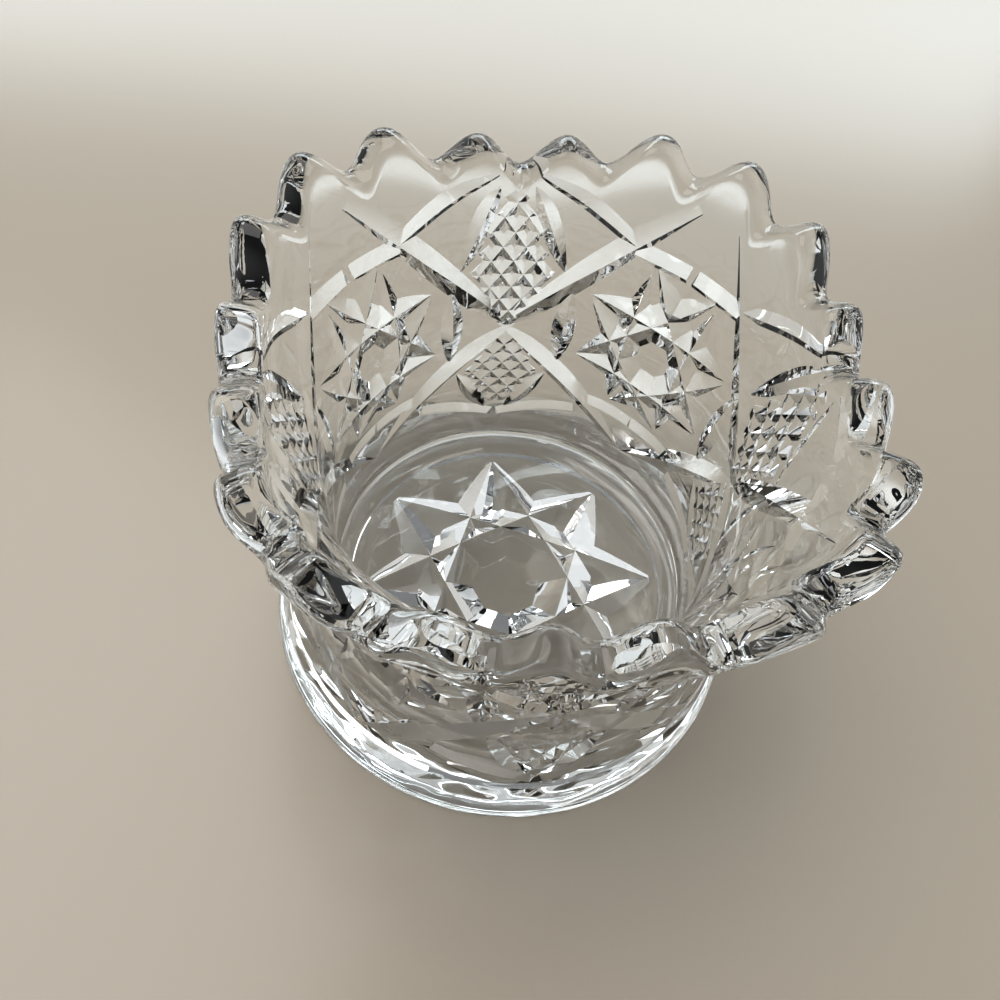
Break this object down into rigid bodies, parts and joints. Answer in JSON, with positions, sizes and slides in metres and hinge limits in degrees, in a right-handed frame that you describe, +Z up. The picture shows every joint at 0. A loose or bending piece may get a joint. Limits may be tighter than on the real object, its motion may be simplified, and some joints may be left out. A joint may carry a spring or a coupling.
{
  "type": "toothpick holder",
  "caption": "Small free-standing clear pressed-glass cup for toothpicks, with a wavy toothed rim, a cut-glass star and mitre pattern on the wall and a star under the floor.",
  "frame": {"origin": "centre of the foot on the surface that the cup stands on", "axes": "+Z up along the cup's axis; X and Y through the middles of the four flat sides of the rim"},
  "size_m": [0.0608, 0.0608, 0.0502],
  "materials": {
    "clear_glass": "clear colourless pressed glass, fire polished"
  },
  "bodies": {
    "root": {"glass_cup": "clear_glass"}
  },
  "joints": []
}
